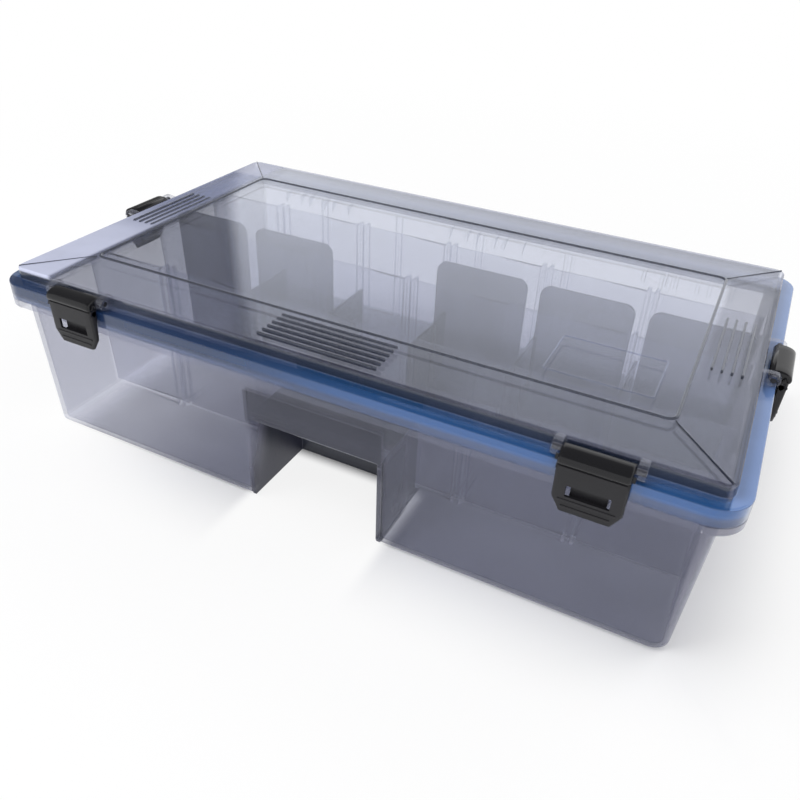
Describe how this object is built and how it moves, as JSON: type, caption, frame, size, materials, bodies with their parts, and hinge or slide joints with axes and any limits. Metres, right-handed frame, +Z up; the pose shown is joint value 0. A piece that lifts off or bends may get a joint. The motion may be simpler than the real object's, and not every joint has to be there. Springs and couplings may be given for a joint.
{
  "type": "waterproof tackle box",
  "caption": "Flat clear plastic tackle box with a hinged lid, perimeter gasket, snap latches, moulded compartment walls, removable dividers and a carrying recess.",
  "frame": {"origin": "on the resting face, under the middle of the box's footprint", "axes": "+Z up, the front with the carrying recess faces -Y, the hinges are at +Y, +X is to the viewer's right"},
  "size_m": [0.362, 0.2275, 0.0912],
  "materials": {
    "tub_plastic": "smoky translucent, lightly frosted",
    "lid_plastic": "smoky clear, glossy",
    "divider_plastic": "smoky translucent",
    "gasket": "blue soft rubber",
    "latch_plastic": "black satin",
    "latch_pin": "black",
    "hinge_pin": "plain steel"
  },
  "bodies": {
    "tub": {"tub": "tub_plastic", "hinge_pin_left": "hinge_pin", "hinge_pin_middle": "hinge_pin", "hinge_pin_right": "hinge_pin", "divider_long_left": "divider_plastic", "divider_long_right": "divider_plastic", "divider_cross_1": "divider_plastic", "divider_cross_2": "divider_plastic", "divider_cross_3": "divider_plastic", "divider_cross_4": "divider_plastic", "divider_cross_5": "divider_plastic"},
    "lid": {"lid": "lid_plastic", "gasket": "gasket", "latch_pin_front_left": "latch_pin", "latch_pin_front_right": "latch_pin", "latch_pin_left": "latch_pin", "latch_pin_right": "latch_pin"},
    "latch_front_left": {"latch_front_left": "latch_plastic"},
    "latch_front_right": {"latch_front_right": "latch_plastic"},
    "latch_left": {"latch_left": "latch_plastic"},
    "latch_right": {"latch_right": "latch_plastic"}
  },
  "joints": [
    {"name": "lid_hinge", "type": "hinge", "parent": "tub", "child": "lid", "pos_m": [0, 0.112, 0.0754], "axis": [-1, 0, 0], "range_deg": [0, 110]},
    {"name": "latch_front_left_hinge", "type": "hinge", "parent": "lid", "child": "latch_front_left", "pos_m": [-0.12375, -0.1055, 0.0876], "axis": [-1, 0, 0], "range_deg": [0, 115]},
    {"name": "latch_front_right_hinge", "type": "hinge", "parent": "lid", "child": "latch_front_right", "pos_m": [0.12375, -0.1055, 0.0876], "axis": [-1, 0, 0], "range_deg": [0, 115]},
    {"name": "latch_left_hinge", "type": "hinge", "parent": "lid", "child": "latch_left", "pos_m": [-0.1744, 0, 0.0876], "axis": [0, 1, 0], "range_deg": [0, 115]},
    {"name": "latch_right_hinge", "type": "hinge", "parent": "lid", "child": "latch_right", "pos_m": [0.1744, 0, 0.0876], "axis": [0, -1, 0], "range_deg": [0, 115]}
  ]
}
